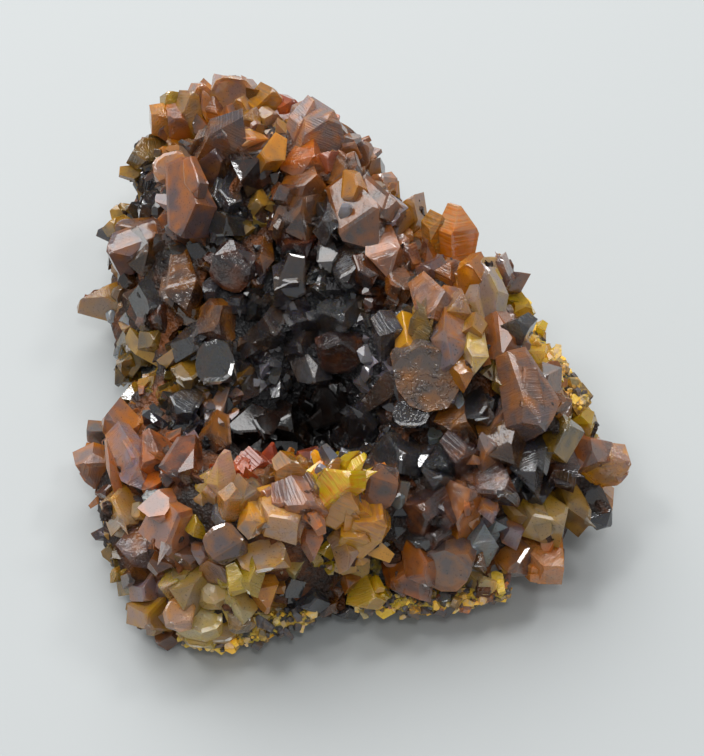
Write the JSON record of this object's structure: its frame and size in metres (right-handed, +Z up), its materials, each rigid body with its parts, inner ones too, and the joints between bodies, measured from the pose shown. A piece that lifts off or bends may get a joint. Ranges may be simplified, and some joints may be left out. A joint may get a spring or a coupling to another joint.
{
  "type": "orpiment on matrix specimen",
  "caption": "Mineral specimen: a three-cornered slab of dark rock crusted with blocky red-brown orpiment crystals round a dark hollow, with yellow seams along its rim.",
  "frame": {"origin": "on the flat underside of the matrix, under the middle of the slab", "axes": "+Z up out of the crystal side, -Y towards the front lobe, +X towards the right-hand ridge"},
  "size_m": [0.1136, 0.1227, 0.0459],
  "materials": {
    "matrix_rock": null,
    "orpiment_crystal": null,
    "druse_crystal": null,
    "massive_orpiment": null
  },
  "bodies": {
    "root": {"matrix": "matrix_rock", "crystal_crust": "orpiment_crystal", "dark_druse": "druse_crystal", "right_yellow_seam": "massive_orpiment", "front_yellow_seam": "massive_orpiment", "ledge_yellow_seam": "massive_orpiment"}
  },
  "joints": []
}
